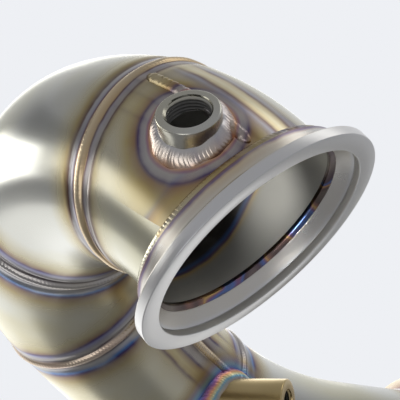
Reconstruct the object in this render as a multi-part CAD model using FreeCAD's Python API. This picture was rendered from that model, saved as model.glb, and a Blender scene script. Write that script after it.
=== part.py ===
import FreeCAD, Part
import math
import os

# Turbo downpipe in thin stainless tube. Millimetres and degrees, +Z up.
# The origin is the centre of the inlet flange's sealing face, whose mouth looks along -Y.
# A station is (point, heading, side): heading runs with the gas, side is square to it.

Vec = FreeCAD.Vector
mouth = (Vec(0, 0, 0), Vec(0, 1, 0), Vec(0, 0, 1))

# tube
tubeOuter = 88.9 / 2
tubeWall = 1.65
tubeInner = tubeOuter - tubeWall
slipGap = 0.15

# bends in running order: radius, angle, roll of the bend plane before the bend
inletStraight = 12.6
bends = [(91.0, 29.0, 167.7), (97.0, 56.0, -11.3), (100.0, 42.4, -36.2),
         (425.0, 14.0, -0.3), (290.0, 24.9, -54.1)]
lastStraight = 68.0

# inlet flange, distances along the gas from the sealing face
rimRadius = tubeOuter + 12.25
rimWidth = 4.4
rimChamfer = 0.5
neckWall = 4.5
neckOuter = tubeOuter + slipGap + neckWall
neckStart = 7.6
neckEnd = 13.4
neckFillet = 1.5
registerRadius = tubeOuter + 4.25
registerDepth = 2.9
grooveRadius = registerRadius + 1.5
grooveWidth = 0.9
seatRadius = registerRadius + 0.5
throatRadius = tubeOuter - 0.15
throatStart = 8.8
socketStart = 10.0
socketGap = 0.3

# welds
beadWidth = 6.5
beadHeight = 1.3
beadEdge = 0.1
beadRoot = 3.0
seamWidth = 6.0
seamHeight = 1.3
flangeWeldLeg = 3.6
stubWeldLeg = 2.8
rootWeldLength = 2.0
rootWeldEdge = 0.2
rootWeldHeight = 0.6
rootWeldRound = 1.2

# long seams: angle round the tube from the inside of its bend
frontSeamAround = 161.0
rearSeamAround = 6.0

# sensor bosses for M18 x 1.5: the bore is the thread's minor diameter
threadBore = 16.4 / 2
mouthChamfer = 0.9
bossChamfer = 0.7
portGap = 1.2
bossRoot = 22.0
# radius, height, weld leg, angle along the bend, angle round the tube, lean along, lean around
frontBoss = (12.0, 7.5, 3.6, 11.1, 147.5, 6.4, 9.0)
rearBoss = (14.5, 33.5, 4.6, 13.5, 25.0, 22.2, -23.3)

# flexible joint, distances from either end
flexLength = 150.0
cupRadius = tubeOuter + 12.55
cupWall = 1.6
cupLength = 34.0
cupRound = 3.0
coneStart = 8.0
coneLength = 9.0
spigotLength = 24.0
cuffStart = 15.0
bellowsStart = 27.0
bellowsWall = 0.8
rootRadius = tubeOuter + bellowsWall + 0.95
convolutions = 8
crestShare = 0.3
braidWall = 1.4
braidGap = 1.6
crestRadius = cupRadius - cupWall - braidWall - braidGap
braidStart = 20.0
braidLead = 1.0
braidRise = 10.0
braidBulge = 1.6
linerWall = 1.0
linerStart = 5.0
linerEnd = 94.0

# tail and its loose flange
tailLength = 118.0
stubWall = 3.4
stubOuter = tubeOuter + slipGap + stubWall
stubLength = 34.0
stubOverhang = 6.0
lipRadius = stubOuter + 8.0
lipThickness = 4.0
lipChamfer = 0.8
lipGap = 0.3
flangeThickness = 10.0
turnGap = 0.5
boltCircle = stubOuter + 16.0
boltHole = 5.5
boltCount = 3
lobeRadius = 13.0
plateRadius = lipRadius + 4.0
plateChamfer = 0.8

# hanger, distances from the start of the tail tube
hangerRadius = 6.0
hangerStart = 20.0
hangerRun = 32.0
hangerBend = 14.0
hangerReach = 42.0
hangerHead = 8.5
hangerHeadLength = 4.0
hangerWeldWidth = 10.0
hangerWeldRoot = 1.0
hangerWeldSlope = 2.0
hangerAround = 90.0
hangerGap = 0.3


def turn(vector, axis, angle):
    return FreeCAD.Rotation(axis, angle).multVec(vector)


def moved(station, distance):
    return (station[0] + station[1] * distance, station[1], station[2])


def rolled(station, angle):
    return (station[0], station[1], turn(station[2], station[1], angle))


def backward(station):
    return (station[0], station[1] * -1, station[2])


def bent(station, radius, angle):
    # the bend's centre lies along side, at the bend radius
    point, heading, side = station
    axis = heading.cross(side)
    arm = turn(side * -radius, axis, angle)
    return (point + side * radius + arm, turn(heading, axis, angle), turn(side, axis, angle))


def disc(station, radius):
    return Part.Face(Part.Wire(Part.makeCircle(radius, station[0], station[1])))


def swing(face, station, radius, angle):
    # face revolved about the bend's axis
    point, heading, side = station
    return face.revolve(point + side * radius, heading.cross(side), angle)


def cylinder(station, radius, start, end):
    return Part.makeCylinder(radius, end - start, moved(station, start)[0], station[1])


def turned(station, outline):
    # solid of revolution about the heading; outline points are (distance, radius),
    # and a third number rounds that corner
    point, heading, side = station
    corners = [point + heading * item[0] + side * item[1] for item in outline]
    edges = []
    ends = []
    for number, corner in enumerate(corners):
        first = last = corner
        if len(outline[number]) == 3:
            size = outline[number][2]
            inward = (corners[number - 1] - corner).normalize()
            outward = (corners[(number + 1) % len(corners)] - corner).normalize()
            half = inward.getAngle(outward) / 2
            first = corner + inward * (size / math.tan(half))
            last = corner + outward * (size / math.tan(half))
            middle = corner + (inward + outward).normalize() * (size / math.sin(half) - size)
            edges.append(Part.Arc(first, middle, last).toShape())
        ends.append((first, last))
    for number in range(len(ends)):
        edges.append(Part.LineSegment(ends[number - 1][1], ends[number][0]).toShape())
    wire = Part.Wire(Part.sortEdges(edges)[0])
    return Part.Face(wire).revolve(point, heading, 360)


def ring_bead(station, neighbours):
    # weld round a butt joint: a low arch, rooted under the surface before it is fitted
    half = beadWidth / 2
    edge = tubeOuter - beadEdge
    return cut(turned(station, [(-half, edge - beadRoot), (-half, edge),
                                (0, tubeOuter + beadHeight * 2, beadWidth / 2), (half, edge),
                                (half, edge - beadRoot)]), neighbours)


def corner_bead(station, leg, neighbours):
    # convex weld in the corner of a tube and of a wall that ends at the station
    size = math.hypot(leg * 1.5, leg / 2)
    point = moved(station, -leg / 2)[0]
    wall = cylinder(station, tubeOuter * 2, -size * 2, 0)
    return cut(Part.makeTorus(tubeOuter - leg / 2, size, point, station[1]), [wall] + neighbours)


def seam(start, radius, angle, around, neighbours):
    # weld along a bend: a cap on the tube's own circle
    point, heading, side = start

    def place(size, offset):
        return point + turn(side, heading, around + offset) * size

    half = math.degrees(seamWidth / 2 / tubeOuter)
    left, right = place(tubeOuter, -half), place(tubeOuter, half)
    outer = Part.Arc(left, place(tubeOuter + seamHeight, 0), right).toShape()
    inner = Part.Arc(right, place(tubeOuter, 0), left).toShape()
    return cut(swing(Part.Face(Part.Wire([outer, inner])), start, radius, angle), neighbours)


def cut(shape, neighbours):
    for neighbour in neighbours:
        shape = shape.cut(neighbour)
    return shape


def boss_station(start, radius, along, around, leanAlong, leanAround):
    # middle of a boss's foot on the tube, with its axis leaned off the radial line
    point, heading, side = bent(start, radius, along)
    out = turn(side, heading, around)
    axis = out + heading * math.tan(math.radians(leanAlong))
    axis = (axis + heading.cross(out) * math.tan(math.radians(leanAround))).normalize()
    return (point + out * tubeOuter, axis, (heading - axis * heading.dot(axis)).normalize())


def boss(station, radius, height, neighbours):
    # plain boss, coped to what it stands on
    body = turned(station, [(-bossRoot, threadBore), (-bossRoot, radius), (height - bossChamfer, radius),
                            (height, radius - bossChamfer), (height, threadBore + mouthChamfer),
                            (height - mouthChamfer, threadBore)])
    return cut(body, neighbours)


def boss_weld(station, radius, leg, grown, neighbours):
    # fillet weld that follows the foot of a boss over the round of the tube
    collar = cylinder(station, radius + leg, -bossRoot, bossRoot)
    collar = cut(collar.common(grown), [cylinder(station, radius, -bossRoot * 2, bossRoot * 2)] + neighbours)
    outer = []
    for edge in collar.Edges:
        middle = edge.valueAt((edge.FirstParameter + edge.LastParameter) / 2) - station[0]
        away = (middle - station[1] * middle.dot(station[1])).Length
        if abs(away - radius - leg) < 0.01 and not any(face.isInside(middle + station[0], 0.01, True)
                                                       for face in neighbours):
            outer.append(edge)
    return collar.makeFillet(leg * 0.85, outer)


def export(name, shape):
    shape.exportStep("parts/" + name + ".step")


os.makedirs("parts", exist_ok=True)

# stations along the centreline, and the outside of each tube as a solid
here = moved(mouth, inletStraight)
starts = []
for radius, angle, roll in bends:
    here = rolled(here, roll)
    starts.append(here)
    here = bent(here, radius, angle)
flexStart = moved(here, lastStraight)
flexEnd = moved(flexStart, flexLength)
outsides = [swing(disc(start, tubeOuter), start, radius, angle)
            for start, (radius, angle, roll) in zip(starts, bends)]
inletRun = cylinder(mouth, tubeOuter, 0, inletStraight)
outletRun = cylinder(here, tubeOuter, 0, lastStraight)

# inlet flange
flangeOutline = [(0, registerRadius), (registerDepth, registerRadius), (registerDepth, grooveRadius),
                 (registerDepth + grooveWidth, grooveRadius), (registerDepth + grooveWidth, seatRadius),
                 (throatStart, throatRadius), (socketStart, throatRadius),
                 (socketStart, tubeOuter + slipGap), (neckEnd, tubeOuter + slipGap), (neckEnd, neckOuter),
                 (neckStart, neckOuter, neckFillet), (rimWidth, rimRadius), (rimChamfer, rimRadius),
                 (0, rimRadius - rimChamfer)]
export("inlet_flange", turned(mouth, flangeOutline))
tubeStart = socketStart + socketGap
rootOutline = [(throatStart + rootWeldEdge, throatRadius), (tubeStart, throatRadius),
               (tubeStart, tubeInner), (tubeStart + rootWeldLength, tubeInner),
               (tubeStart + rootWeldEdge, tubeInner - rootWeldHeight, rootWeldRound)]
export("inlet_root_weld", turned(mouth, rootOutline))
flangeWeld = corner_bead(moved(mouth, neckEnd), flangeWeldLeg, [inletRun, outsides[0]])
export("inlet_flange_weld", flangeWeld)

# sensor bosses: where they stand
frontFoot = boss_station(starts[0], bends[0][0], *frontBoss[3:])
rearFoot = boss_station(starts[3], bends[3][0], *rearBoss[3:])
frontPort = cylinder(frontFoot, threadBore + portGap, -bossRoot, bossRoot)
rearPort = cylinder(rearFoot, threadBore + portGap, -bossRoot, bossRoot)

# tubes
for number, (start, (radius, angle, roll)) in enumerate(zip(starts, bends)):
    wall = disc(start, tubeOuter).cut(disc(start, tubeInner))
    tube = swing(wall.Faces[0], start, radius, angle)
    if number == 0:
        straight = cylinder(mouth, tubeOuter, tubeStart, inletStraight)
        tube = tube.fuse(straight.cut(cylinder(mouth, tubeInner, 0, inletStraight)))
        tube = cut(tube, [frontPort])
    if number == 4:
        tube = tube.fuse(outletRun.cut(cylinder(here, tubeInner, 0, lastStraight)))
    if number > 2:
        tube = cut(tube, [rearPort])
    export("tube_" + str(number + 1), tube)

# round joint welds, long seams and boss welds, each fitted round what it is laid on
frontBody = boss(frontFoot, frontBoss[0], frontBoss[1], [outsides[0]])
rearBody = boss(rearFoot, rearBoss[0], rearBoss[1], outsides[3:])
rings = [ring_bead(starts[number], outsides[number - 1:number + 1]) for number in range(1, 5)]
flexRun = cylinder(flexStart, tubeOuter, -beadWidth, beadWidth)
flexWeld = ring_bead(flexStart, [flexRun])
neck = cylinder(mouth, neckOuter, 0, neckEnd)
frontSeam = seam(starts[0], bends[0][0], bends[0][1], frontSeamAround,
                 [neck, flangeWeld, rings[0], frontPort])
rearSeam = seam(starts[3], bends[3][0], bends[3][1], rearSeamAround, [rings[2], rings[3], rearPort])


def grown(numbers, leg):
    shapes = [swing(disc(starts[n], tubeOuter + leg), starts[n], bends[n][0], bends[n][1]) for n in numbers]
    return shapes[0].multiFuse(shapes[1:]) if len(shapes) > 1 else shapes[0]


frontWeld = boss_weld(frontFoot, frontBoss[0], frontBoss[2], grown([0], frontBoss[2]), [outsides[0]])
rearWeld = boss_weld(rearFoot, rearBoss[0], rearBoss[2], grown([3, 4], rearBoss[2]), outsides[3:])
export("sensor_bung_front", cut(frontBody, [frontSeam]))
export("bung_weld_front", cut(frontWeld, [frontSeam]))
rings[3] = cut(rings[3], [rearWeld, cylinder(rearFoot, rearBoss[0], -bossRoot, bossRoot)])
export("sensor_bung_rear", cut(rearBody, [rearSeam]))
export("bung_weld_rear", cut(rearWeld, [rearSeam]))
export("seam_weld_front", frontSeam)
export("seam_weld_rear", rearSeam)
for number, bead in enumerate(rings):
    export("tube_joint_weld_" + str(number + 1), bead)
export("flex_inlet_weld", flexWeld)

# flexible joint: two cups, a corrugated tube, an inner sleeve and an outer braid
innerStep = cupWall * math.hypot(coneLength, cupRadius - tubeOuter) / (cupRadius - tubeOuter)
cupSlope = coneLength / (cupRadius - tubeOuter)
innerCorner = coneStart + innerStep + cupSlope * (cupRadius - cupWall - tubeOuter)
cupOutline = [(0, tubeInner), (0, tubeOuter), (coneStart, tubeOuter),
              (coneStart + coneLength, cupRadius, cupRound), (cupLength, cupRadius),
              (cupLength, cupRadius - cupWall), (innerCorner, cupRadius - cupWall, cupRound - cupWall),
              (coneStart + innerStep, tubeOuter), (spigotLength, tubeOuter), (spigotLength, tubeInner)]
export("flex_inlet_collar", turned(flexStart, cupOutline))
export("flex_outlet_collar", turned(backward(flexEnd), cupOutline))
pitch = (flexLength - 2 * bellowsStart) / convolutions
ridge = [(cuffStart, tubeOuter + bellowsWall), (spigotLength, tubeOuter + bellowsWall)]
hollow = [(cuffStart, tubeOuter), (spigotLength, tubeOuter)]
for number in range(convolutions):
    foot = bellowsStart + pitch * number
    low, high = pitch * crestShare / 2, pitch * (1 - crestShare) / 2
    for distance, radius in ((low, rootRadius), (high, crestRadius),
                             (pitch - high, crestRadius), (pitch - low, rootRadius)):
        ridge.append((foot + distance, radius))
        hollow.append((foot + distance, radius - bellowsWall))
ridge += [(flexLength - distance, radius) for distance, radius in reversed(ridge[:2])]
hollow += [(flexLength - distance, radius) for distance, radius in reversed(hollow[:2])]
export("flex_bellows", turned(flexStart, ridge + hollow[::-1]))
braidRadius = cupRadius - cupWall
braid = []
for distance, radius in ((braidStart, braidRadius), (cupLength + braidLead, braidRadius),
                         (cupLength + braidRise, braidRadius + braidBulge)):
    braid.append((distance, radius))
braid += [(flexLength - distance, radius) for distance, radius in reversed(braid)]
export("flex_braid", turned(flexStart, braid + [(distance, radius - braidWall)
                                                for distance, radius in reversed(braid)]))
export("flex_liner", turned(flexStart, [(linerStart, tubeInner), (linerEnd, tubeInner),
                                        (linerEnd, tubeInner - linerWall), (linerStart, tubeInner - linerWall)]))

# tail tube, its lipped stub and their welds
tailEnd = moved(flexEnd, tailLength)
tailRun = cylinder(flexEnd, tubeOuter, 0, tailLength)
export("tail_tube", tailRun.cut(cylinder(flexEnd, tubeInner, 0, tailLength)))
export("flex_outlet_weld", ring_bead(flexEnd, [cylinder(flexEnd, tubeOuter, -beadWidth, beadWidth)]))
faceStation = moved(tailEnd, stubOverhang)
stubOutline = [(-stubLength, tubeOuter + slipGap), (-stubLength, stubOuter), (-lipThickness, stubOuter),
               (-lipThickness, lipRadius), (-lipChamfer, lipRadius), (0, lipRadius - lipChamfer),
               (0, tubeOuter + slipGap)]
export("outlet_stub", turned(faceStation, stubOutline))
export("outlet_stub_weld", corner_bead(backward(moved(faceStation, -stubLength)), stubWeldLeg, [tailRun]))

# loose three-bolt flange behind the lip
plateStation = moved(faceStation, -lipThickness - lipGap - flangeThickness)
middle, heading, side = plateStation
spread = math.degrees(math.acos((plateRadius - lobeRadius) / boltCircle))
step = 360 / boltCount


def around(centre, radius, angle):
    return centre + turn(side, heading, angle) * radius


edges = []
holes = [cylinder(plateStation, stubOuter + turnGap, 0, flangeThickness)]
for number in range(boltCount):
    angle = number * step
    lobe = around(middle, boltCircle, angle)
    first, last = around(lobe, lobeRadius, angle - spread), around(lobe, lobeRadius, angle + spread)
    edges.append(Part.Arc(first, around(lobe, lobeRadius, angle), last).toShape())
    waist = around(middle, plateRadius, angle + spread)
    nextWaist = around(middle, plateRadius, angle + step - spread)
    edges.append(Part.LineSegment(last, waist).toShape())
    edges.append(Part.Arc(waist, around(middle, plateRadius, angle + step / 2), nextWaist).toShape())
    nextLobe = around(around(middle, boltCircle, angle + step), lobeRadius, angle + step - spread)
    edges.append(Part.LineSegment(nextWaist, nextLobe).toShape())
    holes.append(cylinder((lobe, heading, side), boltHole, 0, flangeThickness))
plate = Part.Face(Part.Wire(Part.sortEdges(edges)[0])).extrude(heading * flangeThickness)
rims = [edge for face in plate.Faces if abs(face.normalAt(0, 0).dot(heading)) > 0.99 for edge in face.Edges]
export("outlet_flange", cut(plate.makeChamfer(plateChamfer, rims), holes))

# hanger: a rod along the tail tube, bent away from it, with a head at its end
out = turn(flexEnd[2], flexEnd[1], hangerAround)
rodStart = moved((flexEnd[0] + out * (tubeOuter + hangerGap + hangerRadius), flexEnd[1], out), hangerStart)
rodBend = moved(rodStart, hangerRun)
rodReach = bent(rodBend, hangerBend, 90)
rod = cylinder(rodStart, hangerRadius, 0, hangerRun)
rod = rod.fuse(swing(disc(rodBend, hangerRadius), rodBend, hangerBend, 90))
rod = rod.fuse(cylinder(rodReach, hangerRadius, 0, hangerReach))
rod = rod.fuse(cylinder(rodReach, hangerHead, hangerReach - hangerHeadLength, hangerReach))
export("hanger_rod", rod.removeSplitter())
across = rodStart[1].cross(out)
corner = rodStart[0] - across * (hangerWeldWidth / 2) - out * (hangerRadius + hangerGap + hangerWeldRoot)
top = corner + out * hangerRadius
block = Part.Face(Part.makePolygon([corner, corner + across * hangerWeldWidth,
                                    top + across * (hangerWeldWidth - hangerWeldSlope),
                                    top + across * hangerWeldSlope, corner]))
block = block.extrude(rodStart[1] * hangerRun)
export("hanger_weld", cut(block, [tailRun, rod]))
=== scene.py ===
import math

import bpy
import numpy as np
from mathutils import Matrix


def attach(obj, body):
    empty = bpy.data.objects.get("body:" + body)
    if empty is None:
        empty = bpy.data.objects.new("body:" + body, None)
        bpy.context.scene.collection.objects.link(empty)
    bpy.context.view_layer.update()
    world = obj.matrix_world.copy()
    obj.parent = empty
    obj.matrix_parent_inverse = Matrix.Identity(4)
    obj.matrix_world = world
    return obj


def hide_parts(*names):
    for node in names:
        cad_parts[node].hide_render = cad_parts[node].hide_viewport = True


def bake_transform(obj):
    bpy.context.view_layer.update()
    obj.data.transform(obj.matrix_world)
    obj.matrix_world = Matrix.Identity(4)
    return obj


# Looks of a welded stainless turbo downpipe. Sizes are in millimetres and become metres in the meshes.
# A station is (point, heading, side): heading runs with the gas, side is square to it.

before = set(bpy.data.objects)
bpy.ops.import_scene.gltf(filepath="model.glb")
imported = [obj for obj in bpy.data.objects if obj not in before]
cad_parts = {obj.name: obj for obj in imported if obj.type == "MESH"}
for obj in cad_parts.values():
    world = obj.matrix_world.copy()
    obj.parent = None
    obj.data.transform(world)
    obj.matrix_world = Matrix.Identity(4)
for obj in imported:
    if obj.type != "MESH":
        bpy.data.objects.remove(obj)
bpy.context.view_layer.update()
mm = 0.001  # a millimetre in metres
print("frame loaded")

# the run of the tube: radii of its wall, where it starts, lengths of its straight parts, steps of the mesh

tube = {"outer": 44.45, "inner": 42.8, "start": 10.3, "straight": 12.6, "lastStraight": 68.0,
        "flexLength": 150.0, "tailLength": 118.0, "step": 0.9, "longStep": 1.6, "runStep": 2.0,
        "columns": 176}
bends = [(91.0, 29.0, 167.7), (97.0, 56.0, -11.3), (100.0, 42.4, -36.2),
         (425.0, 14.0, -0.3), (290.0, 24.9, -54.1)]  # radius, angle, roll before the bend


def unit(vector):
    return vector / np.linalg.norm(vector)


def turn(vector, axis, angle):
    # Rodrigues' turn about a unit axis, in degrees
    angle = math.radians(angle)
    along = axis * np.dot(axis, vector)
    return along + (vector - along) * math.cos(angle) + np.cross(axis, vector) * math.sin(angle)


def moved(station, distance):
    return (station[0] + station[1] * distance, station[1], station[2])


def backward(station):
    return (station[0], -station[1], station[2])


def bent(station, radius, angle):
    # the station after a bend towards its side: point and directions turn about the bend's axis
    point, heading, side = station
    axis = np.cross(heading, side)
    return (point + side * radius - turn(side, axis, angle) * radius,
            turn(heading, axis, angle), turn(side, axis, angle))


def bendStations(number, count):
    # stations at even steps from the start of a bend to its end
    radius, angle = bends[number][:2]
    return [bent(starts[number], radius, angle * k / count) for k in range(count + 1)]


mouth = (np.zeros(3), np.array((0.0, 1.0, 0.0)), np.array((0.0, 0.0, 1.0)))
here = moved(mouth, tube["straight"])
starts = []
for radius, angle, roll in bends:
    here = (here[0], here[1], turn(here[2], here[1], roll))
    starts.append(here)
    here = bent(here, radius, angle)
runStart = here
flexStart = moved(runStart, tube["lastStraight"])
flexEnd = moved(flexStart, tube["flexLength"])
tailEnd = moved(flexEnd, tube["tailLength"])
creases = {"wall": 35, "weld": 60}  # degrees over which an edge stays sharp


def linked(name, data):
    made = bpy.data.objects.new(name, data)
    bpy.context.scene.collection.objects.link(made)
    return made


def grid(name, points, loopRows=True, crease=creases["wall"]):
    # closed quad surface through rows x columns of points: each point joins the next in its row and column,
    # and the sum of the volumes under the quads tells which way they face
    rows, columns = points.shape[:2]
    i, j = np.meshgrid(np.arange(rows if loopRows else rows - 1), np.arange(columns), indexing="ij")
    nextRow, nextColumn = (i + 1) % rows, (j + 1) % columns
    quads = np.stack((i * columns + j, nextRow * columns + j, nextRow * columns + nextColumn,
                      i * columns + nextColumn), axis=-1).reshape(-1, 4)
    flat = points.reshape(-1, 3)
    a, b, c, d = (flat[quads[:, k]] for k in range(4))
    volume = np.einsum("ij,ij->i", a, np.cross(b, c) + np.cross(c, d)).sum()
    if volume < 0:
        quads = quads[:, ::-1]
    mesh = bpy.data.meshes.new(name)
    mesh.from_pydata((flat * mm).tolist(), [], quads.tolist())
    mesh.polygons.foreach_set("use_smooth", np.ones(len(quads), bool))
    mesh.set_sharp_from_angle(angle=math.radians(crease))
    return linked(name + "_surface", mesh)


def hoop(station, radius, angles):
    # one circle of points square to the heading; radius is a number or one per angle
    point, heading, side = station
    other = np.cross(heading, side)
    radius = np.broadcast_to(radius, angles.shape)[:, None]
    return point + radius * (np.cos(angles)[:, None] * side + np.sin(angles)[:, None] * other)


def shell(name, rings, count, **options):
    # closed surface through rings of (station, radius)
    angles = np.arange(count) * 2 * np.pi / count
    return grid(name, np.array([hoop(station, radius, angles) for station, radius in rings]), **options)


def rounded(outline):
    # outline points are (distance, radius), and a third number rounds that corner
    result, steps = [], 4
    for number, item in enumerate(outline):
        corner = np.array(item[:2], float)
        if len(item) < 3:
            result.append(tuple(corner))
            continue
        before = unit(np.array(outline[number - 1][:2]) - corner)
        after = unit(np.array(outline[(number + 1) % len(outline)][:2]) - corner)
        half = math.acos(max(-1, min(1, float(before @ after)))) / 2
        centre = corner + unit(before + after) * item[2] / math.sin(half)
        first = corner + before * item[2] / math.tan(half)
        last = corner + after * item[2] / math.tan(half)
        for k in range(steps + 1):
            # points of the arc, by turning evenly from the first end to the last
            blend = k / steps
            along = (first - centre) * (1 - blend) + (last - centre) * blend
            result.append(tuple(centre + unit(along) * item[2]))
    return result


def lathe(name, station, outline, count=224):
    # closed surface of an outline turned round the station's heading
    return shell(name, [(moved(station, d), r) for d, r in rounded(outline)], count)


def markBore(piece, values):
    # 0 on the outside and 1 where the bore's colour shows: the duller lining of the tubes and the flange's
    # recess, and painted shade deep in the bosses' threaded holes
    piece.data.attributes.new("bore", "FLOAT", "POINT").data.foreach_set("value", values)


def dress(piece, node, body, material):
    # piece stands for a node of the solid model, rides with its body and wears a material
    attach(piece, body)
    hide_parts(node)
    piece.data.materials.append(material)


# shader helpers

def shade(tree, kind, inputs=(), **settings):
    made = tree.nodes.new(kind)
    for key, value in settings.items():
        setattr(made, key, value)
    for socket, value in inputs:
        if isinstance(value, bpy.types.NodeSocket):
            tree.links.new(value, made.inputs[socket])
        else:
            made.inputs[socket].default_value = value
    return made


def compute(tree, operation, first, second=0.0):
    # one step with numbers
    return shade(tree, "ShaderNodeMath", ((0, first), (1, second)), operation=operation).outputs[0]


def combine(tree, operation, first, second):
    # one step with vectors
    output = "Value" if operation in ("DOT_PRODUCT", "LENGTH") else "Vector"
    made = shade(tree, "ShaderNodeVectorMath", ((0, first), (1, second)), operation=operation)
    return made.outputs[output]


def planeDistance(tree, place, station):
    # signed millimetres along the heading from the station
    away = combine(tree, "SUBTRACT", place, tuple(station[0] * mm))
    return compute(tree, "DIVIDE", combine(tree, "DOT_PRODUCT", away, tuple(station[1])), mm)


def axisDistance(tree, place, station, back=20.0, farAway=999.0):
    # millimetres off the line through the station, and far away where the place lies well behind it
    away = combine(tree, "SUBTRACT", place, tuple(station[0] * mm))
    off = combine(tree, "LENGTH", combine(tree, "CROSS_PRODUCT", away, tuple(station[1])), (0, 0, 0))
    height = combine(tree, "DOT_PRODUCT", away, tuple(station[1]))
    behind = compute(tree, "LESS_THAN", height, -back * mm)
    return compute(tree, "ADD", compute(tree, "DIVIDE", off, mm), compute(tree, "MULTIPLY", behind, farAway))


def seamDistance(tree, place, number, around):
    # millimetres from the circle that a long seam follows round the axis of its bend
    point, heading, side = starts[number]
    radius = bends[number][0]
    axis = np.cross(heading, side)
    centre = point + side * radius
    foot = point + turn(side, heading, around) * tube["outer"] - centre
    level = float(foot @ axis)
    size = float(np.linalg.norm(foot - axis * level))
    away = combine(tree, "SUBTRACT", place, tuple(centre * mm))
    off = combine(tree, "LENGTH", combine(tree, "CROSS_PRODUCT", away, tuple(axis)), (0, 0, 0))
    rise = combine(tree, "DOT_PRODUCT", away, tuple(axis))
    off = compute(tree, "SUBTRACT", off, size * mm)
    rise = compute(tree, "SUBTRACT", rise, level * mm)
    squares = compute(tree, "ADD", compute(tree, "MULTIPLY", off, off), compute(tree, "MULTIPLY", rise, rise))
    return compute(tree, "DIVIDE", compute(tree, "SQRT", squares), mm)


def spread(tree, value, span, low=0.0):
    # carries a value's span to low..1 and stops there
    return shade(tree, "ShaderNodeMapRange", (("Value", value), ("From Min", span[0]), ("From Max", span[1]),
                                              ("To Min", low))).outputs[0]


def ramp(tree, distance, stops):
    # stops are (millimetres, colour, cover); cover is how far the tint hides the steel
    low, high = stops[0][0], stops[-1][0]
    made = shade(tree, "ShaderNodeValToRGB", (("Fac", spread(tree, distance, (low, high))),))
    band = made.color_ramp
    for number, (place, colour, cover) in enumerate(stops):
        position = (place - low) / (high - low)
        element = band.elements[number] if number < 2 else band.elements.new(position)
        element.position = position
        element.color = (*colour, cover)
    return made


def mixed(tree, factor, first, second):
    # colours may be sockets or triples
    pair = [value if isinstance(value, bpy.types.NodeSocket) else (*value, 1) for value in (first, second)]
    return shade(tree, "ShaderNodeMix", (("Factor", factor), (6, pair[0]), (7, pair[1])),
                 data_type="RGBA").outputs[2]


def noise(tree, place, scale, detail):
    made = shade(tree, "ShaderNodeTexNoise", (("Vector", place), ("Scale", scale), ("Detail", detail)))
    return made.outputs["Fac"]


def bumped(tree, surface, height, strength, depth):
    # fine relief by shading alone; depth is in metres
    bump = shade(tree, "ShaderNodeBump", (("Strength", strength), ("Distance", depth), ("Height", height)))
    tree.links.new(bump.outputs[0], surface.inputs["Normal"])


def newMaterial(name):
    material = bpy.data.materials.new(name)
    material.use_nodes = True
    return material, material.node_tree, material.node_tree.nodes["Principled BSDF"]


# the steel's finish: scales of its noises, spans of them that mottle it and thin its tints, millimetres that
# a tint's edge wanders, how dark the lining's mottle is, what each cause adds to the roughness, lathe marks

finish = {"broad": 14.0, "fine": 55.0, "mottle": (0.42, 0.62), "patch": (0.2, 0.6), "thinnest": 0.55,
          "wander": 2.6, "shade": 0.8, "uneven": 0.12, "hotRough": 0.06, "boreRough": 0.18, "boreDull": 0.3,
          "cuts": 2600.0, "cutDepth": 0.00006, "spun": 0.55}


def tinted(name, tints, base=(0.58, 0.575, 0.52), straw=(0.57, 0.545, 0.41), roughness=0.24,
           lining=(0.52, 0.51, 0.46), inner=(), turned=None):
    # satin stainless whose colour runs through heat tints beside each weld; inner tints lie in the bore
    material, tree, surface = newMaterial(name)
    place = shade(tree, "ShaderNodeTexCoord").outputs["Object"]
    broad, fine = (noise(tree, place, finish[key], detail) for key, detail in (("broad", 3.0), ("fine", 4.0)))
    shift = compute(tree, "SUBTRACT", fine, 0.5)
    shift = compute(tree, "MULTIPLY", shift, finish["wander"])
    mottle = spread(tree, broad, finish["mottle"])
    patch = spread(tree, fine, finish["patch"], finish["thinnest"])

    def laid(colour, hot, tints):
        for measure, stops in tints:
            band = ramp(tree, compute(tree, "ADD", measure(tree, place), shift), stops)
            cover = compute(tree, "MULTIPLY", band.outputs["Alpha"], patch)
            colour = mixed(tree, cover, colour, band.outputs["Color"])
            hot = compute(tree, "MAXIMUM", hot, cover)
        return colour, hot

    outer, hot = laid(mixed(tree, mottle, base, straw), 0.0, tints)
    within = laid(mixed(tree, mottle, lining, [part * finish["shade"] for part in lining]), 0.0, inner)[0]
    bore = shade(tree, "ShaderNodeAttribute", attribute_name="bore").outputs["Fac"]
    tree.links.new(mixed(tree, bore, outer, within), surface.inputs["Base Color"])
    dull = compute(tree, "MULTIPLY", bore, finish["boreDull"])
    tree.links.new(compute(tree, "SUBTRACT", 1.0, dull), surface.inputs["Metallic"])
    rough = compute(tree, "MULTIPLY", broad, finish["uneven"])
    rough = compute(tree, "ADD", rough, roughness - finish["uneven"] / 2)
    for amount, key in ((hot, "hotRough"), (bore, "boreRough")):
        rough = compute(tree, "ADD", rough, compute(tree, "MULTIPLY", amount, finish[key]))
    tree.links.new(rough, surface.inputs["Roughness"])
    if turned:
        # fine rings left by the lathe round an axis
        point, heading = turned[:2]
        away = combine(tree, "SUBTRACT", place, tuple(point * mm))
        ring = combine(tree, "CROSS_PRODUCT", tuple(heading), away)
        off = combine(tree, "LENGTH", ring, (0, 0, 0))
        level = combine(tree, "DOT_PRODUCT", away, tuple(heading))
        lines = shade(tree, "ShaderNodeCombineXYZ", ((0, off), (1, level)))
        bumped(tree, surface, noise(tree, lines.outputs[0], finish["cuts"], 2.0), 0.25, finish["cutDepth"])
        tree.links.new(ring, surface.inputs["Tangent"])
        surface.inputs["Anisotropic"].default_value = finish["spun"]
    return material


# heat tints: millimetres from the weld, colour and cover. A tint is a way to measure, and its stops.

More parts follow.
